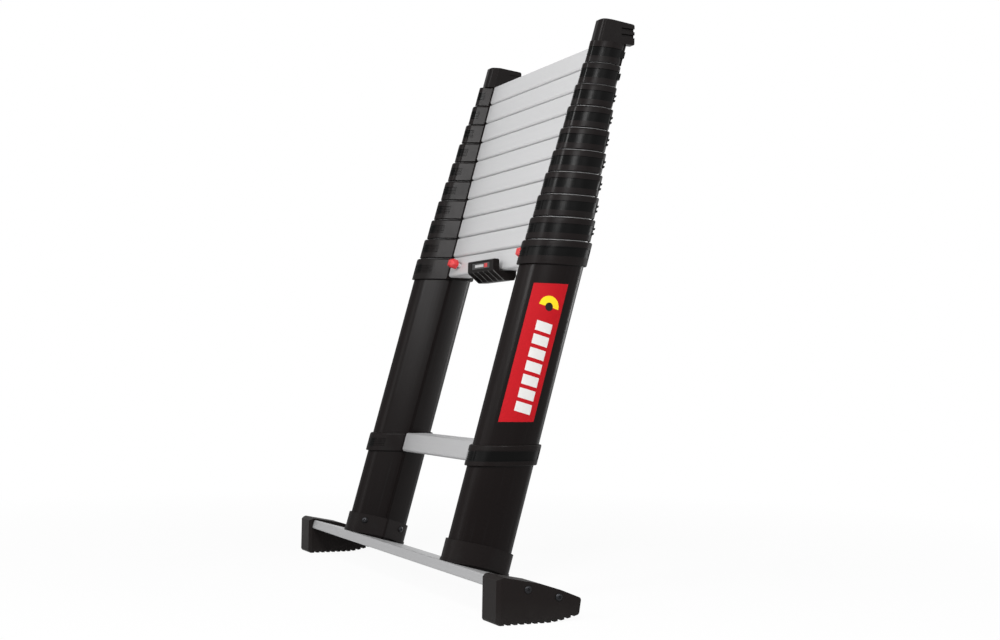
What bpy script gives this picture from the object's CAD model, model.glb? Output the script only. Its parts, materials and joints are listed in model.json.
"""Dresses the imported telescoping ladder: finishes, screws, label, handle plate and studio."""

from __future__ import annotations

import json
import logging
import math
from dataclasses import dataclass, replace
from enum import Enum
from typing import Any, Callable, ClassVar, Sequence

import bpy
from mathutils import Matrix, Vector

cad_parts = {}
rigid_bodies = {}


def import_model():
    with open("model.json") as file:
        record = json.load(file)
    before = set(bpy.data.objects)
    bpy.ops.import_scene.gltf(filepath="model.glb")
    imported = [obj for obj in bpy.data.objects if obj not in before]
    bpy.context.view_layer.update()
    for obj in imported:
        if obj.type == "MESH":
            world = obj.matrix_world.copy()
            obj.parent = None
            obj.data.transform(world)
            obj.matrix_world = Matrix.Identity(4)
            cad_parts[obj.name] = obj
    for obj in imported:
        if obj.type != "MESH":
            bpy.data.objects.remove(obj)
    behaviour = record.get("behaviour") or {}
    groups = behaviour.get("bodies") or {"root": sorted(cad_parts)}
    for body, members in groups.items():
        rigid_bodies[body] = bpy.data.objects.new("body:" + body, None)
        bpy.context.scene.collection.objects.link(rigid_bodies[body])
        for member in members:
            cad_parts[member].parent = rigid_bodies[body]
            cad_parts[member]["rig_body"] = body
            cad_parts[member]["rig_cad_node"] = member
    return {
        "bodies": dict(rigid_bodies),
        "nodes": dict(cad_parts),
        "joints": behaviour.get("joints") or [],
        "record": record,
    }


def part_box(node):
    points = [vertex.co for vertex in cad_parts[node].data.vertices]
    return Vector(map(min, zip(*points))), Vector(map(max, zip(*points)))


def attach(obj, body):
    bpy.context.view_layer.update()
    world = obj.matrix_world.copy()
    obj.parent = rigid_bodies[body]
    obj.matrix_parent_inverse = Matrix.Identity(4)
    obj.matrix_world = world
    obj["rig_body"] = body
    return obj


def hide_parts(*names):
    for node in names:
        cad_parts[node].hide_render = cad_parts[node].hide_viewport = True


LOG = logging.getLogger("ladder")
# Lean of the columns, and distance of their axes from the middle; all lengths are in metres.
LEAN = math.radians(15)
HALF_SPACING = 0.194
# What a noise gives on average.
NOISE_MEAN = 0.5
Pair = tuple[float, float]
Triple = tuple[float, float, float]
Colour = Triple


class Side(Enum):
    """Which column a piece belongs to, as the sign of its X."""

    LEFT = -1
    RIGHT = 1


class Run(Enum):
    """Direction in which an extrusion was drawn."""

    ACROSS = "along the rung"
    COLUMN = "along the column"


@dataclass(frozen=True)
class Speckle:
    """A noise's scale, detail and roughness."""

    scale: float
    detail: float = 2.0
    rough: float = 0.5


class Wire:
    """A socket's value, on which Python operators add Math nodes."""

    def __init__(self, graph: Graph, socket: bpy.types.NodeSocket) -> None:
        """Keeps the graph and the socket."""
        self.graph = graph
        self.socket = socket

    def _math(self, operation: str, first: Any, second: Any) -> Wire:
        """Adds one Math node.

        Args:
            operation: The Math node's operation.
            first: A wire or a number.
            second: A wire or a number.

        Returns:
            The node's result.
        """
        return self.graph.add("ShaderNodeMath", {"operation": operation}, {0: first, 1: second})

    def __add__(self, other: Any) -> Wire:
        """Sum."""
        return self._math("ADD", self, other)

    def __radd__(self, other: Any) -> Wire:
        """Reflected sum."""
        return self._math("ADD", other, self)

    def __sub__(self, other: Any) -> Wire:
        """Difference."""
        return self._math("SUBTRACT", self, other)

    def __rsub__(self, other: Any) -> Wire:
        """Reflected difference."""
        return self._math("SUBTRACT", other, self)

    def __mul__(self, other: Any) -> Wire:
        """Product."""
        return self._math("MULTIPLY", self, other)

    def __rmul__(self, other: Any) -> Wire:
        """Reflected product."""
        return self._math("MULTIPLY", other, self)

    def __truediv__(self, other: Any) -> Wire:
        """Quotient."""
        return self._math("DIVIDE", self, other)

    def __rtruediv__(self, other: Any) -> Wire:
        """Reflected quotient."""
        return self._math("DIVIDE", other, self)

    def __gt__(self, other: Any) -> Wire:
        """One where this is the greater, else zero."""
        return self._math("GREATER_THAN", self, other)

    def __lt__(self, other: Any) -> Wire:
        """One where this is the less, else zero."""
        return self._math("LESS_THAN", self, other)


class Graph:
    """A material's or a world's nodes, with its shader ready."""

    def __init__(self, owner: bpy.types.Material | bpy.types.World, shader: str = "Principled BSDF") -> None:
        """Keeps the owner's tree and finds its shader by name.

        Args:
            owner: The material or the world.
            shader: Name of its shader node.
        """
        owner.use_nodes = True
        self.tree = owner.node_tree
        self.shader = self.tree.nodes[shader]

    def add(self, kind: str, settings: dict[str, Any] | None = None,
            inputs: dict[Any, Any] | None = None, output: int | str = 0) -> Wire:
        """Adds a node.

        Args:
            kind: The node's type.
            settings: Its properties; "stops" holds a ramp's positions and greys.
            inputs: Values or wires for its sockets, by name or number.
            output: Number or name of the output that is wanted.

        Returns:
            That output.
        """
        node = self.tree.nodes.new(kind)
        for name, value in (settings or {}).items():
            if name == "stops":
                self._stops(node.color_ramp, value)
            else:
                setattr(node, name, value)
        for key, value in (inputs or {}).items():
            if isinstance(value, Wire):
                self.tree.links.new(value.socket, node.inputs[key])
            else:
                node.inputs[key].default_value = value
        return Wire(self, node.outputs[output])

    @staticmethod
    def _stops(ramp: bpy.types.ColorRamp, stops: Sequence[Pair]) -> None:
        """Gives a ramp its stops, as positions and greys."""
        while len(ramp.elements) < len(stops):
            ramp.elements.new(1.0)
        for element, (position, grey) in zip(ramp.elements, stops):
            element.position = position
            element.color = (grey, grey, grey, 1.0)

    def place(self, run: Run = Run.ACROSS, scale: Sequence[float] = (1, 1, 1)) -> Wire:
        """Object coordinates, turned to the column if asked, then scaled.

        Args:
            run: Which way the third coordinate goes.
            scale: Scale of the three coordinates.

        Returns:
            The coordinates.
        """
        point = self.add("ShaderNodeTexCoord", output="Object")
        turn = LEAN if run is Run.COLUMN else 0.0
        point = self.add("ShaderNodeMapping", {}, {"Vector": point, "Rotation": (turn, 0, 0)})
        return self.add("ShaderNodeVectorMath", {"operation": "MULTIPLY"}, {0: point, 1: tuple(scale)})

    def part(self, point: Wire, axis: int) -> Wire:
        """One coordinate of a point."""
        return self.add("ShaderNodeSeparateXYZ", {}, {0: point}, output=axis)

    def size(self, value: Wire) -> Wire:
        """A value without its sign."""
        return self.add("ShaderNodeMath", {"operation": "ABSOLUTE"}, {0: value})

    def inward(self, point: Wire) -> Wire:
        """How far a point lies inside its column's axis."""
        return HALF_SPACING - self.size(self.part(point, 0))

    def noise(self, point: Wire, kind: Speckle) -> Wire:
        """Noise from zero to one at a point."""
        settings = {"Scale": kind.scale, "Detail": kind.detail, "Roughness": kind.rough}
        return self.add("ShaderNodeTexNoise", {}, {"Vector": point, **settings})

    def ramp(self, value: Wire, *stops: Pair) -> Wire:
        """A value sent through a grey ramp."""
        return self.add("ShaderNodeValToRGB", {"stops": stops}, {0: value})

    def rise(self, value: Wire, span: Pair) -> Wire:
        """A ramp from zero at a span's start to one at its end, within zero to one."""
        return self.ramp(value, (span[0], 0.0), (span[1], 1.0))

    def over(self, length: Wire, span: Pair, low: float = 0.0) -> Wire:
        """A ramp from a low value to one over a span of lengths."""
        return self.ramp((length - span[0]) / (span[1] - span[0]), (0.0, low), (1.0, 1.0))

    def fall(self, length: Wire, reach: float) -> Wire:
        """A ramp from one at no length to zero at a reach."""
        return self.ramp(length / reach, (0.0, 1.0), (1.0, 0.0))

    def repeat(self, length: Wire, first: float, pitch: float) -> Wire:
        """How far a length is into its step of a pitch, from zero to one."""
        return self.add("ShaderNodeMath", {"operation": "FRACT"}, {0: (length - first) / pitch})

    @staticmethod
    def within(value: Wire, span: Pair) -> Wire:
        """One inside a span, else zero."""
        return (value > span[0]) * (value < span[1])

    def mix(self, share: Any, first: Any, second: Any) -> Wire:
        """A blend of two colours by a share of the second."""
        # A Mix node's colours are its inputs 6 and 7 and its output 2.
        return self.add("ShaderNodeMix", {"data_type": "RGBA"},
                        {0: share, 6: self._four(first), 7: self._four(second)}, output=2)

    @staticmethod
    def _four(colour: Any) -> Any:
        """A colour with its alpha, or a wire as it is."""
        return colour if isinstance(colour, Wire) else (*colour, 1.0)

    def bump(self, height: Wire, relief: Pair) -> Wire:
        """A normal from a height, by a relief's strength and distance."""
        return self.add("ShaderNodeBump", {},
                        {"Height": height, "Strength": relief[0], "Distance": relief[1]})

    def feed(self, **sockets: Any) -> None:
        """Sends wires or values to the shader.

        Args:
            **sockets: The shader's sockets, with underscores for spaces.
        """
        for name, value in sockets.items():
            socket = self.shader.inputs[name.replace("_", " ")]
            if isinstance(value, Wire):
                self.tree.links.new(value.socket, socket)
            else:
                socket.default_value = value


@dataclass(frozen=True)
class Finish:
    """A surface finish, made as a material when it is first used.

    The roughness is that of its smoothest places, and the gloss its specular level.
    """

    name: str
    slot: str
    colour: Colour
    roughness: float
    gloss: float = 0.5

    def paint(self, graph: Graph) -> None:
        """Adds the finish's own nodes."""
        raise NotImplementedError

    def material(self) -> bpy.types.Material:
        """The finish's material.

        Returns:
            The one material of this name.
        """
        found = bpy.data.materials.get(self.name)
        if found is not None:
            return found
        made = bpy.data.materials.new(self.name)
        graph = Graph(made)
        graph.feed(Specular_IOR_Level=self.gloss)
        self.paint(graph)
        return made

    def dress(self, piece: bpy.types.Object) -> None:
        """Puts the finish on a whole piece."""
        piece.data.materials.clear()
        piece.data.materials.append(self.material())


@dataclass(frozen=True)
class CoatedTube(Finish):
    """Satin powder coat with a fine peel and rub marks along the column."""

    gloss: float = 0.1
    rubbed: Colour = (0.016, 0.016, 0.0165)
    rub_share: float = 0.4
    rub_shine: float = 0.05
    rub_streak: Pair = (0.52, 0.8)
    rub_cloud: Pair = (0.42, 0.7)
    streak: Speckle = Speckle(1.0)
    streak_scale: Triple = (420, 420, 5)
    cloud: Speckle = Speckle(9.0, 3.0)
    cloud_rough: float = 0.12
    peel: Speckle = Speckle(1500.0, 1.0)
    peel_height: float = 0.00001
    relief: Pair = (1.0, 1.0)
    axis: float = 0.0
    flank: float = 0.0366
    flank_from: float = 0.005
    crown: float = 0.0042
    ends: Pair = (0.0375, 0.045)
    matt: float = 0.32

    def paint(self, graph: Graph) -> None:
        """Adds peel, cloudy gloss and rub marks, a slight crown on the flanks and matt ends.

        Args:
            graph: The material's nodes.
        """
        point = graph.place(Run.COLUMN)
        depth = graph.size(graph.part(point, 1) - self.axis)
        fall = graph.fall(depth, self.flank) * (graph.inward(point) > self.flank_from)
        cloud = graph.noise(point, self.cloud)
        peel = graph.noise(point, self.peel)
        streak = graph.noise(graph.place(Run.COLUMN, self.streak_scale), self.streak)
        rub = graph.rise(streak, self.rub_streak) * graph.rise(cloud, self.rub_cloud)
        rough = self.roughness + cloud * self.cloud_rough - rub * self.rub_shine
        height = peel * self.peel_height - fall * fall * self.crown
        graph.feed(Base_Color=graph.mix(rub * self.rub_share, self.colour, self.rubbed),
                   Roughness=rough + graph.over(depth, self.ends) * self.matt,
                   Normal=graph.bump(height, self.relief))


@dataclass(frozen=True)
class Moulded(Finish):
    """Moulded plastic with a fine grain, scuffed a little."""

    gloss: float = 0.085
    scuffed: Colour = (0.011, 0.0108, 0.0105)
    scuff: Pair = (0.5, 0.75)
    scuff_share: float = 0.5
    scuff_rough: float = 0.05
    cloud: Speckle = Speckle(22.0, 4.0, 0.6)
    grain: Speckle = Speckle(2200.0, 2.0, 0.7)
    grain_share: float = 0.2
    grain_rough: float = 0.12
    relief: Pair = (0.06, 0.0002)

    def worn(self, graph: Graph, colour: Wire) -> Wire:
        """Colour after wear, which plain mouldings do not show."""
        return colour

    def matted(self, graph: Graph) -> Any:
        """Roughness added by handling, none on plain mouldings."""
        return 0.0

    def paint(self, graph: Graph) -> None:
        """Adds grain and scuffs.

        Args:
            graph: The material's nodes.
        """
        point = graph.place()
        grain = graph.noise(point, self.grain)
        scuff = graph.rise(graph.noise(point, self.cloud), self.scuff)
        colour = graph.mix(scuff * self.scuff_share + grain * self.grain_share, self.colour, self.scuffed)
        rough = self.roughness + grain * self.grain_rough + scuff * self.scuff_rough
        graph.feed(Base_Color=self.worn(graph, colour), Roughness=rough + self.matted(graph),
                   Normal=graph.bump(grain, self.relief))


@dataclass(frozen=True)
class CollarMoulding(Moulded):
    """Collar plastic, handled matt round the ends of its outline and dark in its grip recess."""

    axis: float = 0.0
    ends: Pair = (0.03, 0.042)
    matt: float = 0.28
    middle: float = 0.0
    band: float = 0.0068
    outer: float = 0.012
    sunk: Colour = (0.0006, 0.0006, 0.0006)
    sunk_shine: float = 0.06

    def recess(self, graph: Graph) -> Wire:
        """One in the recess round the outer side.

        Args:
            graph: The material's nodes.

        Returns:
            One or zero.
        """
        point = graph.place()
        height = graph.size(graph.part(point, 2) - self.middle)
        return (height < self.band) * (graph.inward(point) < self.outer)

    def worn(self, graph: Graph, colour: Wire) -> Wire:
        """Darkens the recess, where nothing rubs."""
        return graph.mix(self.recess(graph), colour, self.sunk)

    def matted(self, graph: Graph) -> Wire:
        """Roughness that grows towards the ends of the outline, less in the recess."""
        depth = graph.size(graph.part(graph.place(Run.COLUMN), 1) - self.axis)
        return graph.over(depth, self.ends) * self.matt - self.recess(graph) * self.sunk_shine


@dataclass(frozen=True)
class RidgedGrip(Moulded):
    """Moulded plastic whose grip ridges are rubbed pale."""

    gloss: float = 0.04
    rubbed: Colour = (0.16, 0.158, 0.155)
    rub: Speckle = Speckle(300.0)
    least_rub: float = 0.4
    first: float = -0.0465
    pitch: float = 0.01824
    ridge: float = 0.0018
    top: float = 0.0

    def worn(self, graph: Graph, colour: Wire) -> Wire:
        """Pales the ridges below the front plate.

        Args:
            graph: The material's nodes.
            colour: Colour of the moulding.

        Returns:
            The colour with its pale ridges.
        """
        point = graph.place()
        step = graph.repeat(graph.part(point, 0), self.first, self.pitch)
        ridge = (step < self.ridge / self.pitch) * (graph.part(point, 2) < self.top)
        return graph.mix(ridge * (self.least_rub + graph.noise(point, self.rub)), colour, self.rubbed)


@dataclass(frozen=True)
class DrawnAluminium(Finish):
    """Anodised aluminium with the fine lines of its drawing, dark where a collar shuts it in."""

    run: Run = Run.ACROSS
    shade: Colour = (0.62, 0.62, 0.63)
    metal: float = 0.75
    line: Speckle = Speckle(1.0, 3.0, 0.6)
    line_scale: Pair = (4, 1800)
    line_share: float = 0.3
    line_rough: float = 0.1
    band: Speckle = Speckle(1.0)
    band_scale: Pair = (2, 160)
    band_share: float = 0.25
    cloud: Speckle = Speckle(14.0, 3.0)
    cloud_rough: float = 0.1
    mark: Speckle = Speckle(260.0)
    mark_span: Pair = (0.7, 0.78)
    mark_share: float = 0.25
    mark_dent: float = 0.5
    speck: Speckle = Speckle(900.0, 2.0, 0.8)
    speck_share: float = 0.9
    relief: Pair = (0.08, 0.0002)
    seal_top: float = 0.0
    seal: float = 0.005
    seal_full: float = 0.7
    sealed: Colour = (0.02, 0.02, 0.02)
    shut: Pair = (0.93, 0.35)

    def drawn(self, graph: Graph, kind: Speckle, scale: Pair) -> Wire:
        """Noise drawn out along the run.

        Args:
            graph: The material's nodes.
            kind: The noise.
            scale: Its scales along and across the run.

        Returns:
            The noise.
        """
        along, across = scale
        stretch = (along, across, across) if self.run is Run.ACROSS else (across, across, along)
        return graph.noise(graph.place(self.run, stretch), kind)

    def shut_in(self, graph: Graph) -> Wire:
        """How far a tube is shaded in the joint under its collar, on the left and on the right.

        Args:
            graph: The material's nodes.

        Returns:
            Zero in the open, nearly one in the joint.
        """
        point = graph.place()
        left, right = self.shut
        shaded = left + (graph.part(point, 0) > 0.0) * (right - left)
        height = (graph.part(point, 2) - self.seal_top) / self.seal + 1.0
        return graph.rise(height, (0.0, self.seal_full)) * shaded

    def paint(self, graph: Graph) -> None:
        """Adds lines along the run, a cloud and small marks.

        Args:
            graph: The material's nodes.
        """
        point = graph.place()
        line = self.drawn(graph, self.line, self.line_scale)
        band = self.drawn(graph, self.band, self.band_scale)
        cloud = graph.noise(point, self.cloud)
        mark = graph.rise(graph.noise(point, self.mark), self.mark_span)
        speck = graph.noise(point, self.speck) - NOISE_MEAN
        dull = line * self.line_share + band * self.band_share + mark * self.mark_share
        colour = graph.mix(dull + speck * self.speck_share, self.colour, self.shade)
        metal: Any = self.metal
        if self.seal_top > 0:
            dark = self.shut_in(graph)
            colour = graph.mix(dark, colour, self.sealed)
            metal = self.metal - dark * self.metal
        graph.feed(Base_Color=colour, Metallic=metal,
                   Roughness=self.roughness + line * self.line_rough + cloud * self.cloud_rough,
                   Normal=graph.bump(line - mark * self.mark_dent, self.relief))


@dataclass(frozen=True)
class TurnedSteel(Finish):
    """Turned or blackened steel."""

    worn: Colour = (0.5, 0.5, 0.52)
    worn_share: float = 0.35
    worn_rough: float = 0.08
    metal: float = 0.9
    spot: Speckle = Speckle(380.0, 3.0)
    spot_span: Pair = (0.55, 0.75)
    line: Speckle = Speckle(1.0)
    line_scale: Triple = (3000, 60, 60)
    line_rough: float = 0.1
    relief: Pair = (0.1, 0.0001)

    def paint(self, graph: Graph) -> None:
        """Adds tool lines and worn spots.

        Args:
            graph: The material's nodes.
        """
        line = graph.noise(graph.place(Run.ACROSS, self.line_scale), self.line)
        spot = graph.rise(graph.noise(graph.place(), self.spot), self.spot_span)
        graph.feed(Base_Color=graph.mix(spot * self.worn_share, self.colour, self.worn),
                   Metallic=self.metal,
                   Roughness=self.roughness + line * self.line_rough + spot * self.worn_rough,
                   Normal=graph.bump(line, self.relief))


@dataclass(frozen=True)
class GripPlastic(Finish):
    """Bright plastic with a pimpled grip."""

    worn: Colour = (0.8, 0.16, 0.15)
    worn_share: float = 0.4
    wear: Speckle = Speckle(120.0, 3.0)
    wear_span: Pair = (0.5, 0.75)
    pimples: float = 900.0
    pimple_rough: float = 0.15
    relief: Pair = (0.5, 0.0004)

    def paint(self, graph: Graph) -> None:
        """Adds pimples and paler worn places.

        Args:
            graph: The material's nodes.
        """
        point = graph.place()
        pimple = graph.add("ShaderNodeTexVoronoi", {}, {"Vector": point, "Scale": self.pimples})
        pale = graph.rise(graph.noise(point, self.wear), self.wear_span)
        graph.feed(Base_Color=graph.mix(pale * self.worn_share, self.colour, self.worn),
                   Roughness=self.roughness + pimple * self.pimple_rough,
                   Normal=graph.bump(1.0 - pimple, self.relief))


@dataclass(frozen=True)
class Rubber(Finish):
    """Moulded rubber, dusty towards the floor."""

    gloss: float = 0.1
    dust: Colour = (0.02, 0.019, 0.018)
    dust_top: float = 0.03
    dust_share: float = 0.6
    dust_rough: float = 0.08
    cloud: Speckle = Speckle(60.0, 4.0, 0.6)
    grain: Speckle = Speckle(1300.0, 3.0, 0.7)
    grain_share: float = 0.15
    grain_rough: float = 0.12
    relief: Pair = (0.3, 0.0003)

    def paint(self, graph: Graph) -> None:
        """Adds grain, and dust that thins with height.

        Args:
            graph: The material's nodes.
        """
        point = graph.place()
        grain = graph.noise(point, self.grain)
        cloud = graph.noise(point, self.cloud)
        low = graph.fall(graph.part(point, 2), self.dust_top)
        dusty = low * cloud * self.dust_share + grain * self.grain_share
        graph.feed(Base_Color=graph.mix(dusty, self.colour, self.dust),
                   Roughness=self.roughness + grain * self.grain_rough + low * self.dust_rough,
                   Normal=graph.bump(grain, self.relief))


@dataclass(frozen=True)
class PrintedFilm(Finish):
    """Printed label film: a field of one colour with plain blocks and a half disc on it."""

    gloss: float = 0.08
    bars: Colour = (0.64, 0.63, 0.615)
    accent: Colour = (0.83, 0.6, 0.02)
    ink: Colour = (0.012, 0.011, 0.011)
    faded: Colour = (0.4, 0.012, 0.018)
    origin: Pair = (0.0, 0.0)
    bar_half: float = 0.0125
    bar_pitch: float = 0.0194
    bar_fill: float = 0.72
    bar_span: Pair = (0.221, 0.3568)
    disc_at: float = 0.374
    disc_radius: float = 0.0155
    dot_radius: float = 0.006
    cloud: Speckle = Speckle(40.0, 3.0)
    cloud_share: float = 0.15
    cloud_rough: float = 0.08
    grain: Speckle = Speckle(1800.0)
    grain_share: float = 0.1
    grain_rough: float = 0.08
    relief: Pair = (0.05, 0.0001)

    def paint(self, graph: Graph) -> None:
        """Draws the blocks up the column on the label's own coordinates.

        Args:
            graph: The material's nodes.
        """
        point = graph.place(Run.COLUMN)
        across = graph.part(point, 1) - self.origin[0]
        along = graph.part(point, 2) - self.origin[1]
        step = graph.repeat(along, self.bar_span[0], self.bar_pitch)
        inside = graph.within(along, self.bar_span) * (graph.size(across) < self.bar_half)
        bar = inside * (step < self.bar_fill)
        above = along - self.disc_at
        square = across * across + above * above
        disc = (square < self.disc_radius ** 2) * (above > 0.0)
        dot = square < self.dot_radius ** 2
        grain = graph.noise(graph.place(), self.grain)
        cloud = graph.noise(graph.place(), self.cloud)
        aged = cloud * self.cloud_share + grain * self.grain_share
        barred = graph.mix(bar, graph.mix(aged, self.colour, self.faded), self.bars)
        graph.feed(Base_Color=graph.mix(dot, graph.mix(disc, barred, self.accent), self.ink),
                   Roughness=self.roughness + grain * self.grain_rough + cloud * self.cloud_rough,
                   Normal=graph.bump(grain, self.relief))


@dataclass(frozen=True)
class BadgeFilm(Finish):
    """A dark badge film with one pale block and one red block in a border."""

    gloss: float = 0.3
    pale: Colour = (0.55, 0.55, 0.55)
    accent: Colour = (0.6, 0.02, 0.025)
    pale_span: Pair = (-0.021, 0.010)
    accent_span: Pair = (0.0125, 0.0235)
    middle: float = 0.0
    pale_half: float = 0.0021
    accent_half: float = 0.0031
    border: Colour = (0.06, 0.06, 0.06)
    inner: Pair = (0.0299, 0.0034)
    cloud: Speckle = Speckle(160.0, 3.0)
    cloud_share: float = 0.2
    cloud_rough: float = 0.1
    grain: Speckle = Speckle(2600.0)
    grain_rough: float = 0.05
    relief: Pair = (0.05, 0.0001)

    def paint(self, graph: Graph) -> None:
        """Draws the border and the two blocks along the badge.

        Args:
            graph: The material's nodes.
        """
        point = graph.place()
        across = graph.part(point, 0)
        aside = graph.size(graph.part(point, 2) - self.middle)
        pale = graph.within(across, self.pale_span) * (aside < self.pale_half)
        accent = graph.within(across, self.accent_span) * (aside < self.accent_half)
        cloud = graph.noise(point, self.cloud)
        grain = graph.noise(point, self.grain)
        rim = graph.add("ShaderNodeMath", {"operation": "MAXIMUM"},
                        {0: graph.size(across) > self.inner[0], 1: aside > self.inner[1]})
        bordered = graph.mix(rim, self.colour, self.border)
        colour = graph.mix(accent, graph.mix(pale, bordered, self.pale), self.accent)
        graph.feed(Base_Color=graph.mix(cloud * self.cloud_share, colour, self.colour),
                   Roughness=self.roughness + cloud * self.cloud_rough + grain * self.grain_rough,
                   Normal=graph.bump(grain, self.relief))


class Finishes(Enum):
    """The ladder's finishes."""

    COLUMN = CoatedTube("column_coat", "tube_black", (0.003, 0.0014, 0.0013), 0.24)
    MOULDED = Moulded("grained_moulding", "moulded_black", (0.004, 0.0026, 0.0025), 0.27)
    COLLAR = CollarMoulding("grained_collar", "moulded_black", (0.0052, 0.0033, 0.0032), 0.22)
    BOOT = Moulded("matt_boot", "moulded_black", (0.0062, 0.0042, 0.0041), 0.44)
    GRIP = RidgedGrip("ridged_grip", "moulded_black", (0.0078, 0.0062, 0.0061), 0.39)
    TREAD = DrawnAluminium("tread_aluminium", "aluminium_satin", (0.6, 0.6, 0.605), 0.42,
                           shade=(0.48, 0.48, 0.485), metal=0.4)
    LOW_TREAD = DrawnAluminium("low_tread_aluminium", "aluminium_satin", (0.47, 0.47, 0.475), 0.42,
                               shade=(0.37, 0.37, 0.375), metal=0.4)
    BAR = DrawnAluminium("bar_aluminium", "aluminium_satin", (0.42, 0.42, 0.425), 0.42,
                         shade=(0.31, 0.31, 0.315))
    SLIDER = DrawnAluminium("slider_aluminium", "aluminium_clear", (0.52, 0.52, 0.525), 0.32,
                            run=Run.COLUMN, shade=(0.42, 0.42, 0.425))
    PIN = TurnedSteel("turned_pin", "pin_steel", (0.62, 0.62, 0.63), 0.25)
    SCREW = TurnedSteel("blackened_screw", "screw_black", (0.02, 0.02, 0.022), 0.28,
                        worn=(0.09, 0.09, 0.095))
    BUTTON = GripPlastic("pimpled_grip", "button_red", (0.6, 0.018, 0.022), 0.38)
    FOOT = Rubber("foot_rubber", "foot_black", (0.0056, 0.0036, 0.0034), 0.5)
    LABEL = PrintedFilm("label_film", "button_red", (0.41, 0.007, 0.012), 0.36)
    BADGE = BadgeFilm("badge_film", "moulded_black", (0.006, 0.006, 0.006), 0.28)


class Bench:
    """Operators that shape one piece at a time."""

    @staticmethod
    def clear() -> None:
        """Leaves edit mode and selects nothing."""
        if bpy.context.object is not None and bpy.context.object.mode != "OBJECT":
            bpy.ops.object.mode_set(mode="OBJECT")
        bpy.ops.object.select_all(action="DESELECT")

    @staticmethod
    def take(piece: bpy.types.Object) -> None:
        """Makes a piece the only one selected.

        Args:
            piece: The piece.
        """
        Bench.clear()
        piece.select_set(True)
        bpy.context.view_layer.objects.active = piece

    @staticmethod
    def edit(piece: bpy.types.Object, what: str = "FACE") -> None:
        """Opens a piece in edit mode with nothing selected.

        Args:
            piece: The piece.
            what: The kind of element to select.
        """
        Bench.take(piece)
        bpy.ops.object.mode_set(mode="EDIT")
        bpy.ops.mesh.select_mode(type=what)
        bpy.ops.mesh.select_all(action="DESELECT")

    @staticmethod
    def pick_faces(piece: bpy.types.Object, test: Callable[[bpy.types.MeshPolygon], bool]) -> None:
        """Selects the faces that pass a test.

        Args:
            piece: The piece in edit mode.
            test: Called with each face.
        """
        bpy.ops.object.mode_set(mode="OBJECT")
        for face in piece.data.polygons:
            face.select = test(face)
        bpy.ops.object.mode_set(mode="EDIT")

    @staticmethod
    def settle(piece: bpy.types.Object, angle: float = 25.0) -> None:
        """Bakes a piece's place into its mesh and smooths its gentle edges.

        Args:
            piece: The piece.
            angle: Degrees up to which an edge is smooth.
        """
        Bench.take(piece)
        bpy.ops.object.transform_apply(location=True, rotation=True, scale=True)
        bpy.ops.object.shade_smooth_by_angle(angle=math.radians(angle))

    @staticmethod
    def apply(piece: bpy.types.Object, kind: str, **values: Any) -> None:
        """Adds a modifier, sets it and applies it.

        Args:
            piece: The piece.
            kind: The modifier's type.
            **values: Its settings.
        """
        Bench.take(piece)
        modifier = piece.modifiers.new(kind.lower(), kind)
        for name, value in values.items():
            setattr(modifier, name, value)
        bpy.ops.object.modifier_apply(modifier=modifier.name)


@dataclass
class Frame:
    """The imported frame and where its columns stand, in metres."""

    data: dict[str, Any]
    bar_height: float = 0.042
    foot_front: float = 0.060
    collar_height: float = 0.0311

    def __post_init__(self) -> None:
        """Finds the column axes' place and each node's body."""
        self.axis_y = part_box("foot_right")[0].y + self.foot_front
        bodies = self.data["record"]["behaviour"]["bodies"]
        self.body_of = {node: body for body, nodes in bodies.items() for node in nodes}

    def columns(self) -> Matrix:
        """The leaning columns' frame: x as the world's, y to the back, z up the column."""
        return Matrix.Translation((0, self.axis_y, self.bar_height)) @ Matrix.Rotation(-LEAN, 4, "X")

    def origin(self) -> Pair:
        """Where the column frame's depth and height start, in coordinates turned to the column."""
        start = Matrix.Rotation(LEAN, 4, "X") @ Vector((0, self.axis_y, self.bar_height))
        return start.y, start.z

    def on_axis(self, finish: Finishes) -> Finish:
        """A finish that is laid out from the column's axis."""
        return replace(finish.value, axis=self.origin()[0])

    def collar(self, node: str) -> Finish:
        """A pair of collars' finish, with its recess at their middle height."""
        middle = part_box(node)[1].z - self.collar_height / 2
        return replace(self.on_axis(Finishes.COLLAR), name=f"{node}_moulding", middle=middle)

    def level(self, height: float) -> Matrix:
        """A level frame on the column axis at a height up the column."""
        return self.columns() @ Matrix.Translation((0, 0, height)) @ Matrix.Rotation(LEAN, 4, "X")

    def dress_pins(self, section: str) -> None:
        """Gives a section's two lock pins their finish."""
        for side in Side:
            Finishes.PIN.value.dress(self.data["nodes"][f"{section}_pin_{side.name.lower()}"])


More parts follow.
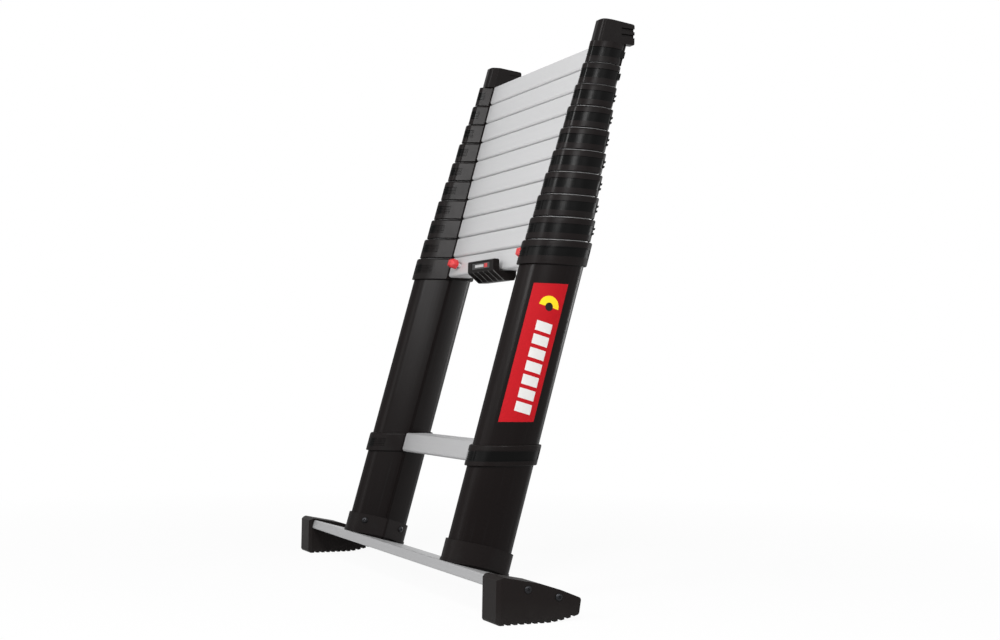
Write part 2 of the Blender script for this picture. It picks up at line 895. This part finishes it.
@dataclass
class Skin:
    """A CAD node's surface with its edges broken, standing for the node."""

    node: str
    finish: Finish
    edge: float = 0.0005
    segments: int = 2
    smooth: float = 21.0
    rim: float = 0.0
    foot_share: float = 0.5

    # How closely points are merged, and the angles up to which faces are one and past which edges are sharp.
    merge: ClassVar[float] = 1e-6
    flat: ClassVar[float] = math.radians(0.4)
    sharp: ClassVar[float] = math.radians(28)
    rim_segments: ClassVar[int] = 3
    normal_weight: ClassVar[int] = 80
    # Upward parts of the normals of a level end and of a wall, and how far an end may lie off its level.
    upright: ClassVar[float] = 0.99
    steep: ClassVar[float] = 0.5
    slack: ClassVar[float] = 0.0003
    level_digits: ClassVar[int] = 4
    # Where a rung's flange starts inside the axis, and the sideways parts of its walls' and end's normals.
    flange_from: ClassVar[float] = 0.015
    flange_wall: ClassVar[float] = 0.1
    flange_end: ClassVar[float] = 0.97

    def round_rims(self, piece: bpy.types.Object, frame: Frame) -> None:
        """Rounds the outer edges round the piece's level ends.

        Args:
            piece: The merged piece.
            frame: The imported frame.
        """
        for up, width in ((1.0, self.rim), (-1.0, self.rim * self.foot_share)):
            mesh = piece.data
            sides: dict[tuple[int, int], list[bpy.types.MeshPolygon]] = {}
            for face in mesh.polygons:
                for key in face.edge_keys:
                    sides.setdefault(key, []).append(face)
            level = self.end_level(mesh, up)
            chosen = [self.on_rim(sides.get(edge.key, []), up, level, frame) for edge in mesh.edges]
            sides.clear()
            Bench.edit(piece, "EDGE")
            bpy.ops.object.mode_set(mode="OBJECT")
            for edge, wanted in zip(piece.data.edges, chosen):
                edge.select = wanted
            bpy.ops.object.mode_set(mode="EDIT")
            bpy.ops.mesh.bevel(offset=width, segments=self.rim_segments, affect="EDGES", clamp_overlap=False)
            bpy.ops.object.mode_set(mode="OBJECT")

    def end_level(self, mesh: bpy.types.Mesh, up: float) -> float:
        """Height of the widest level end.

        Args:
            mesh: The merged mesh.
            up: One for the upper end, minus one for the lower.

        Returns:
            The height at which most of the level area lies.
        """
        areas: dict[float, float] = {}
        for face in mesh.polygons:
            if face.normal.z * up > self.upright:
                height = round(face.center.z, self.level_digits)
                areas[height] = areas.get(height, 0.0) + face.area
        return max(areas, key=lambda height: areas[height])

    def on_rim(self, faces: Sequence[bpy.types.MeshPolygon], up: float, level: float, frame: Frame) -> bool:
        """Whether an edge lies between a level end and the outer side of a column piece.

        Args:
            faces: The faces that meet in the edge.
            up: One for the upper end, minus one for the lower.
            level: Height of that end.
            frame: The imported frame.

        Returns:
            True on a rim.
        """
        if len(faces) != 2:
            return False
        end, wall = sorted(faces, key=lambda face: -abs(face.normal.z))
        if end.normal.z * up < self.upright or abs(end.center.z - level) > self.slack:
            return False
        if abs(wall.normal.z) > self.steep:
            return False
        out = math.copysign(1.0, wall.center.x)
        inner = HALF_SPACING - out * wall.center.x
        depth = wall.center.y - frame.axis_y - (wall.center.z - frame.bar_height) * math.tan(LEAN)
        away = -inner * out * wall.normal.x + depth * wall.normal.y
        along_rung = abs(wall.normal.x) < self.flange_wall
        across_rung = -out * wall.normal.x > self.flange_end
        flange = inner > self.flange_from and (along_rung or across_rung)
        return away > 0 and not flange

    def build(self, frame: Frame) -> bpy.types.Object:
        """Copies the node, merges it and bevels its sharp edges.

        Args:
            frame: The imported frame.

        Returns:
            The piece.
        """
        source = frame.data["nodes"][self.node]
        piece = source.copy()
        piece.data = source.data.copy()
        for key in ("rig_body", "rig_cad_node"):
            del piece[key]
        piece.parent = None
        piece.name = f"{self.node}_skin"
        bpy.context.scene.collection.objects.link(piece)
        Bench.edit(piece)
        bpy.ops.mesh.select_all(action="SELECT")
        bpy.ops.mesh.remove_doubles(threshold=self.merge)
        bpy.ops.mesh.dissolve_limited(angle_limit=self.flat)
        bpy.ops.object.mode_set(mode="OBJECT")
        if piece.data.has_custom_normals:
            bpy.ops.mesh.customdata_custom_splitnormals_clear()
        if self.rim > 0:
            self.round_rims(piece, frame)
        if self.edge > 0:
            Bench.apply(piece, "BEVEL", limit_method="ANGLE", angle_limit=self.sharp, width=self.edge,
                        segments=self.segments, use_clamp_overlap=True, miter_outer="MITER_ARC")
        Bench.settle(piece, self.smooth)
        Bench.apply(piece, "WEIGHTED_NORMAL", keep_sharp=True, weight=self.normal_weight)
        return piece

    def dress(self, piece: bpy.types.Object, frame: Frame) -> None:
        """Gives the piece its finish and its place in the frame.

        Args:
            piece: The piece.
            frame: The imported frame.
        """
        self.finish.dress(piece)
        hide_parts(self.node)
        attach(piece, frame.body_of[self.node])
        LOG.info("%s: %d faces on %s", piece.name, len(piece.data.polygons), frame.body_of[self.node])


@dataclass
class Knob(Skin):
    """A thumb button: a bright knob on a metal stem, with a plate that shields its slot."""

    knob: float = 0.0132
    stem: Finishes = Finishes.TREAD
    rung_front: float = 0.008
    rung_wall: float = 0.002
    travel: float = 0.0078
    plate: float = 0.0008
    lap: float = 0.001

    def stem_start(self, corners: Sequence[Vector]) -> float:
        """Depth at which the stem starts behind the knob, in the columns' frame."""
        return min(corner.y for corner in corners) + self.knob

    def build(self, frame: Frame) -> bpy.types.Object:
        """Adds the plate that closes the slot beside the stem, behind the rung's wall.

        Args:
            frame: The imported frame.

        Returns:
            The piece.
        """
        piece = super().build(frame)
        turn = frame.columns().inverted()
        corners = [turn @ corner.co for corner in piece.data.vertices]
        start = self.stem_start(corners)
        stem = [corner for corner in corners if corner.y > start]
        inner = min((corner.x for corner in stem), key=abs)
        low, high = min(corner.z for corner in stem), max(corner.z for corner in stem)
        middle = Vector((inner - math.copysign((self.travel - self.lap) / 2, inner),
                         self.rung_wall - self.rung_front + self.plate / 2, (low + high) / 2))
        size = (self.travel + self.lap, self.plate, high - low + 2 * self.lap)
        Bench.edit(piece)
        bpy.ops.mesh.primitive_cube_add(size=1.0, location=frame.columns() @ middle, rotation=(-LEAN, 0, 0),
                                        scale=size)
        bpy.ops.object.mode_set(mode="OBJECT")
        return piece

    def dress(self, piece: bpy.types.Object, frame: Frame) -> None:
        """Gives the knob its finish and the stem behind it the rung's.

        Args:
            piece: The piece.
            frame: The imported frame.
        """
        super().dress(piece, frame)
        piece.data.materials.append(self.stem.value.material())
        turn = frame.columns().inverted()
        start = self.stem_start([turn @ corner.co for corner in piece.data.vertices])
        for face in piece.data.polygons:
            face.material_index = int((turn @ face.center).y > start)


@dataclass
class BaseSection:
    """The bar, feet, boots, coated columns and their two rungs."""

    metal_edge: float = 0.0004
    moulded_edge: float = 0.0009
    foot_edge: float = 0.0012
    foot_segments: int = 3
    rim: float = 0.0024
    slope: float = 0.0155

    def grip(self) -> Finish:
        """The handle's finish, with its ridges on the slope below the plate."""
        return replace(Finishes.GRIP.value, top=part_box("carry_handle")[0].z + self.slope)

    def skins(self, frame: Frame) -> list[Skin]:
        """The section's skins.

        Args:
            frame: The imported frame.

        Returns:
            The skins, from the floor up.
        """
        return [
            Skin("stabiliser_bar", Finishes.BAR.value, self.metal_edge),
            Skin("foot_left", Finishes.FOOT.value, self.foot_edge, self.foot_segments),
            Skin("foot_right", Finishes.FOOT.value, self.foot_edge, self.foot_segments),
            Skin("boots", Finishes.BOOT.value, self.moulded_edge),
            Skin("base_tubes", frame.on_axis(Finishes.COLUMN), self.metal_edge),
            Skin("lower_collars", frame.collar("lower_collars"), 0.0, rim=self.rim),
            Skin("lower_rung", Finishes.LOW_TREAD.value, self.metal_edge),
            Skin("base_collars", frame.collar("base_collars"), 0.0, rim=self.rim),
            Skin("base_rung", Finishes.TREAD.value, self.metal_edge),
            Skin("carry_handle", self.grip(), self.moulded_edge),
            Knob("release_button_left", Finishes.BUTTON.value, self.moulded_edge),
            Knob("release_button_right", Finishes.BUTTON.value, self.moulded_edge),
        ]

    def build(self, frame: Frame) -> None:
        """Builds and dresses the section.

        Args:
            frame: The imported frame.
        """
        for skin in self.skins(frame):
            skin.dress(skin.build(frame), frame)
        frame.dress_pins("base")


@dataclass
class SlidingSection:
    """One sliding pair of tubes with its collars and rung."""

    index: int
    last: int = 9
    edge: float = 0.0004
    rim: float = 0.0022
    cap_edge: float = 0.0012
    cap_segments: int = 3

    def slider(self, name: str, frame: Frame) -> Finish:
        """The tubes' finish, dark in the joint under the collars."""
        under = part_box(f"{name}_collars")[1].z - frame.collar_height
        return replace(Finishes.SLIDER.value, name=f"{name}_aluminium", seal_top=under)

    def build(self, frame: Frame) -> None:
        """Builds and dresses the section.

        Args:
            frame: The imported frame.
        """
        name = f"section_{self.index}"
        skins = [Skin(f"{name}_tubes", self.slider(name, frame), 0.0),
                 Skin(f"{name}_collars", frame.collar(f"{name}_collars"), 0.0, rim=self.rim),
                 Skin(f"{name}_rung", Finishes.TREAD.value, self.edge)]
        if self.index == self.last:
            skins.append(Skin("wall_caps", Finishes.MOULDED.value, self.cap_edge, self.cap_segments))
        for skin in skins:
            skin.dress(skin.build(frame), frame)
        if self.index < self.last:
            frame.dress_pins(name)


@dataclass
class Screws:
    """Domed screws with a crossed recess, in the feet and the boots."""

    radius: float = 0.005
    sides: int = 32
    seat: float = 0.0008
    dome: tuple[Pair, ...] = ((0.0006, 0.95), (0.0006, 0.87), (0.0005, 0.74), (0.0003, 0.55), (0.0001, 0.4))
    recess: Triple = (0.0046, 0.0011, 0.0024)
    recess_level: float = 0.0028
    recess_turn: float = 0.5
    smooth: float = 35.0
    foot_end: float = 0.394
    foot_rows: Pair = (-0.018, 0.027)
    foot_level: float = -0.0046
    boot_level: float = 0.022
    boot_row: float = 0.032
    boot_seat: float = 0.02325
    flank: float = math.radians(27)

    def head(self) -> bpy.types.Object:
        """Models one screw along Z, its seat at zero.

        Returns:
            The screw.
        """
        Bench.clear()
        bpy.ops.mesh.primitive_cylinder_add(vertices=self.sides, radius=self.radius, depth=self.seat,
                                            location=(0, 0, self.seat / 2))
        piece = bpy.context.object
        Bench.edit(piece)
        Bench.pick_faces(piece, lambda face: face.normal.z > Skin.upright)
        for rise, share in self.dome:
            bpy.ops.mesh.extrude_region_move(TRANSFORM_OT_translate={"value": (0, 0, rise)})
            bpy.ops.transform.resize(value=(share, share, 1))
        bpy.ops.object.mode_set(mode="OBJECT")
        for turn in (0.0, math.pi / 2):
            Bench.clear()
            bpy.ops.mesh.primitive_cube_add(size=1, location=(0, 0, self.recess_level),
                                            rotation=(0, 0, turn + self.recess_turn))
            cutter = bpy.context.object
            cutter.scale = self.recess
            Bench.apply(piece, "BOOLEAN", operation="DIFFERENCE", object=cutter, solver="EXACT")
            bpy.data.objects.remove(cutter)
        return piece

    def places(self, frame: Frame) -> list[Matrix]:
        """Seats of all the screws, their Z outwards.

        Args:
            frame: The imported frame.

        Returns:
            One matrix for each screw.
        """
        found = []
        for side in Side:
            for row in self.foot_rows:
                at = frame.columns() @ Vector((side.value * self.foot_end, row, self.foot_level))
                found.append(Matrix.Translation(at) @ Matrix.Rotation(side.value * math.pi / 2, 4, "Y"))
            for way in (-1, 1):
                inside = side.value * (HALF_SPACING - self.boot_seat)
                seat = Vector((inside, way * self.boot_row, self.boot_level))
                normal = Vector((-side.value * math.cos(self.flank), way * math.sin(self.flank), 0))
                turn = normal.to_track_quat("Z", "Y").to_matrix().to_4x4()
                found.append(frame.columns() @ Matrix.Translation(seat) @ turn)
        return found

    def build(self, frame: Frame) -> None:
        """Places copies of the screw and joins them to one piece.

        Args:
            frame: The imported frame.
        """
        model = self.head()
        copies = []
        for place in self.places(frame):
            copy = model.copy()
            copy.data = model.data.copy()
            copy.data.transform(place)
            bpy.context.scene.collection.objects.link(copy)
            copies.append(copy)
        bpy.data.objects.remove(model)
        Bench.clear()
        for copy in copies:
            copy.select_set(True)
        bpy.context.view_layer.objects.active = copies[0]
        bpy.ops.object.join()
        piece = bpy.context.object
        piece.name = "screw_heads"
        Bench.settle(piece, self.smooth)
        self.dress(piece)

    def dress(self, piece: bpy.types.Object) -> None:
        """Finishes the joined screws.

        Args:
            piece: The piece.
        """
        Finishes.SCREW.value.dress(piece)
        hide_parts("screws")
        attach(piece, "base")
        LOG.info("%s: %d faces", piece.name, len(piece.data.polygons))


@dataclass
class SideLabel:
    """A plain printed label on the outer bow of the right base column."""

    bow_radius: float = 0.10628
    bow_centre: float = 0.08128
    across: Pair = (-0.030, 0.0215)
    along: Pair = (0.208, 0.408)
    lift: float = 0.00005
    thickness: float = 0.00025
    steps: int = 24
    spare: float = 0.03
    smooth: float = 30.0

    def build(self, frame: Frame) -> None:
        """Spins an upright line round the bow, cuts it level and gives it thickness.

        Args:
            frame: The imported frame.
        """
        radius = self.bow_radius + self.lift
        start, end = (math.asin(value / self.bow_radius) for value in self.across)
        centre = Vector((HALF_SPACING - self.bow_centre, 0, 0))
        Bench.clear()
        bpy.ops.mesh.primitive_plane_add(size=1, calc_uvs=False)
        piece = bpy.context.object
        piece.name = "side_label"
        Bench.edit(piece, "VERT")
        self.line(centre + radius * Vector((math.cos(start), math.sin(start), 0)))
        bpy.ops.mesh.select_all(action="SELECT")
        bpy.ops.mesh.spin(steps=self.steps, angle=end - start, center=centre, axis=(0, 0, -1))
        self.trim()
        bpy.ops.mesh.select_all(action="SELECT")
        bpy.ops.mesh.normals_make_consistent(inside=False)
        bpy.ops.object.mode_set(mode="OBJECT")
        piece.data.transform(frame.columns())
        Bench.apply(piece, "SOLIDIFY", thickness=self.thickness, offset=1.0)
        Bench.settle(piece, self.smooth)
        self.dress(piece, frame)

    def line(self, at: Vector) -> None:
        """Draws the open plane together to a point and extrudes it to an upright line.

        Args:
            at: Where the line stands, at the level of the column's foot.
        """
        bpy.ops.mesh.select_all(action="SELECT")
        bpy.ops.mesh.merge(type="CENTER")
        bpy.ops.transform.translate(value=(at.x, at.y, self.along[0] - self.spare))
        tall = self.along[1] - self.along[0] + 2 * self.spare
        bpy.ops.mesh.extrude_region_move(TRANSFORM_OT_translate={"value": (0, 0, tall)})

    def trim(self) -> None:
        """Cuts the label's lower and upper edges level."""
        level = Vector((0, -math.sin(LEAN), math.cos(LEAN)))
        for height, outer in ((self.along[0], False), (self.along[1], True)):
            bpy.ops.mesh.select_all(action="SELECT")
            bpy.ops.mesh.bisect(plane_co=(0, 0, height), plane_no=level,
                                clear_inner=not outer, clear_outer=outer)

    def dress(self, piece: bpy.types.Object, frame: Frame) -> None:
        """Prints the label in the column's coordinates.

        Args:
            piece: The piece.
            frame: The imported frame.
        """
        film = replace(Finishes.LABEL.value, origin=frame.origin())
        film.dress(piece)
        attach(piece, "base")
        LOG.info("%s: %d faces", piece.name, len(piece.data.polygons))


@dataclass
class Badge:
    """A bare badge plate in the window of the carry handle."""

    rung_level: float = 0.439
    front: float = -0.0214
    across: Pair = (-0.0308, 0.0308)
    height: Pair = (0.0043, 0.0127)
    thickness: float = 0.0007
    edge: float = 0.0002
    segments: int = 2

    def build(self, frame: Frame) -> None:
        """Models the plate in the handle's window.

        Args:
            frame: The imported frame.
        """
        place = frame.level(self.rung_level)
        Bench.clear()
        bpy.ops.mesh.primitive_cube_add(size=1)
        piece = bpy.context.object
        piece.name = "handle_badge"
        span = self.across[1] - self.across[0]
        tall = self.height[1] - self.height[0]
        middle = Vector((sum(self.across) / 2, self.front + self.thickness / 2, sum(self.height) / 2))
        size = Matrix.Diagonal((span, self.thickness, tall, 1))
        piece.matrix_world = place @ Matrix.Translation(middle) @ size
        Bench.settle(piece)
        Bench.edit(piece, "EDGE")
        bpy.ops.mesh.select_all(action="SELECT")
        bpy.ops.mesh.bevel(offset=self.edge, segments=self.segments, affect="EDGES")
        bpy.ops.object.mode_set(mode="OBJECT")
        self.dress(piece, (place @ middle).z)

    def dress(self, piece: bpy.types.Object, middle: float) -> None:
        """Prints the plate round its middle height.

        Args:
            piece: The piece.
            middle: That height.
        """
        film = replace(Finishes.BADGE.value, middle=middle)
        film.dress(piece)
        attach(piece, "base")
        LOG.info("%s: %d faces", piece.name, len(piece.data.polygons))


@dataclass(frozen=True)
class Softbox:
    """A rectangular lamp, in metres and watts."""

    place: Triple
    size: Pair
    power: float

    def hang(self, name: str, aim: Vector) -> None:
        """Hangs the lamp in the scene, turned to its aim.

        Args:
            name: The lamp's name.
            aim: What it lights.
        """
        data = bpy.data.lights.new(name, "AREA")
        data.shape = "RECTANGLE"
        data.size, data.size_y = self.size
        data.energy = self.power
        lamp = bpy.data.objects.new(data.name, data)
        lamp.location = self.place
        lamp.rotation_euler = (aim - Vector(self.place)).to_track_quat("-Z", "Y").to_euler()
        bpy.context.scene.collection.objects.link(lamp)


@dataclass
class Studio:
    """Floor, light and camera."""

    lens: float = 50.083
    sensor: float = 36.0
    eye: Triple = (1.9359, -0.8058, 0.3052)
    yaw: float = math.radians(64.28)
    pitch: float = math.radians(2.32)
    roll: float = math.radians(0.94)
    floor_size: float = 80.0
    floor_colour: Colour = (0.93, 0.93, 0.93)
    floor_roughness: float = 0.9
    shade: float = 0.06
    shade_span: Pair = (0.5, 1.6)
    ambient: float = 0.08
    aim: Triple = (0, 0, 0.42)
    softboxes: tuple[Softbox, ...] = (
        Softbox((0.6, -2.8, 1.5), (1.1, 1.5), 41.0),
        Softbox((1.54, -0.89, 1.44), (0.4, 0.76), 24.0),
        Softbox((1.54, -0.55, 0.9), (0.2, 0.36), 4.0),
        Softbox((2.1, 0.36, 1.18), (0.24, 0.5), 9.0),
        Softbox((2.6, 1.4, 1.7), (0.7, 1.8), 5.0),
        Softbox((-0.2, 2.4, 0.3), (0.5, 0.5), 14.0),
        Softbox((0.0, -0.2, 3.0), (2.5, 2.5), 7.0),
    )

    def camera(self, frame: Frame) -> None:
        """Sets the camera at the photograph's viewing angle.

        Args:
            frame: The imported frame.
        """
        forward = Vector((-math.sin(self.yaw) * math.cos(self.pitch),
                          math.cos(self.yaw) * math.cos(self.pitch), math.sin(self.pitch)))
        level = Vector((math.cos(self.yaw), math.sin(self.yaw), 0))
        upright = level.cross(forward)
        right = math.cos(self.roll) * level + math.sin(self.roll) * upright
        up = math.cos(self.roll) * upright - math.sin(self.roll) * level
        data = bpy.data.cameras.new("camera")
        data.lens = self.lens
        data.sensor_width = self.sensor
        made = bpy.data.objects.new("camera", data)
        turn = Matrix((right, up, -forward)).transposed().to_4x4()
        made.matrix_world = Matrix.Translation(Vector(self.eye) + Vector((0, frame.axis_y, 0))) @ turn
        bpy.context.scene.collection.objects.link(made)
        bpy.context.scene.camera = made

    @staticmethod
    def backdrop(graph: Graph) -> Wire:
        """One for rays that show the white backdrop: from the camera, a gloss or a clear body.

        Args:
            graph: The floor's or the world's nodes.

        Returns:
            One or zero.
        """
        rays = graph.add("ShaderNodeLightPath").socket.node.outputs
        shown = Wire(graph, rays["Is Camera Ray"]) + Wire(graph, rays["Is Glossy Ray"])
        return graph.add("ShaderNodeMath", {"operation": "MINIMUM"},
                         {0: shown + Wire(graph, rays["Is Transmission Ray"]), 1: 1.0})

    def floor(self) -> None:
        """Lays a white floor that keeps a soft shadow near the ladder."""
        Bench.clear()
        bpy.ops.mesh.primitive_plane_add(size=self.floor_size)
        floor = bpy.context.object
        floor.name = "floor"
        material = bpy.data.materials.new("floor_white")
        graph = Graph(material)
        graph.feed(Base_Color=(*self.floor_colour, 1), Roughness=self.floor_roughness)
        graph.feed(Specular_IOR_Level=0.0)
        distance = graph.add("ShaderNodeVectorMath", {"operation": "LENGTH"}, {0: graph.place()}, "Value")
        fade = graph.over(distance, self.shade_span, 1.0 - self.shade)
        glow = graph.add("ShaderNodeEmission", {}, {"Strength": 1.0})
        both = graph.add("ShaderNodeMixShader", {}, {0: self.backdrop(graph) * fade,
                                                     1: Wire(graph, graph.shader.outputs[0]), 2: glow})
        output = graph.tree.nodes["Material Output"]
        graph.tree.links.new(both.socket, output.inputs["Surface"])
        floor.data.materials.append(material)

    def light(self) -> None:
        """Hangs the softboxes and sets the white surround."""
        for number, softbox in enumerate(self.softboxes):
            softbox.hang(f"softbox_{number}", Vector(self.aim))
        world = bpy.data.worlds.new("surround")
        bpy.context.scene.world = world
        graph = Graph(world, "Background")
        graph.feed(Color=(1, 1, 1, 1), Strength=self.ambient + self.backdrop(graph) * (1.0 - self.ambient))

    def build(self, frame: Frame) -> None:
        """Sets the whole studio.

        Args:
            frame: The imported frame.
        """
        self.camera(frame)
        self.floor()
        self.light()
        bpy.context.scene.view_settings.view_transform = "Standard"


def main() -> None:
    """Loads the frame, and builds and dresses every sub-assembly."""
    logging.basicConfig(level=logging.INFO, format="%(name)s: %(message)s")
    bpy.ops.object.select_all(action="SELECT")
    bpy.ops.object.delete()
    frame = Frame(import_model())
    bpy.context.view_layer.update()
    BaseSection().build(frame)
    for index in range(1, SlidingSection.last + 1):
        SlidingSection(index).build(frame)
    Screws().build(frame)
    SideLabel().build(frame)
    Badge().build(frame)
    Studio().build(frame)


if __name__ == "__main__":
    main()
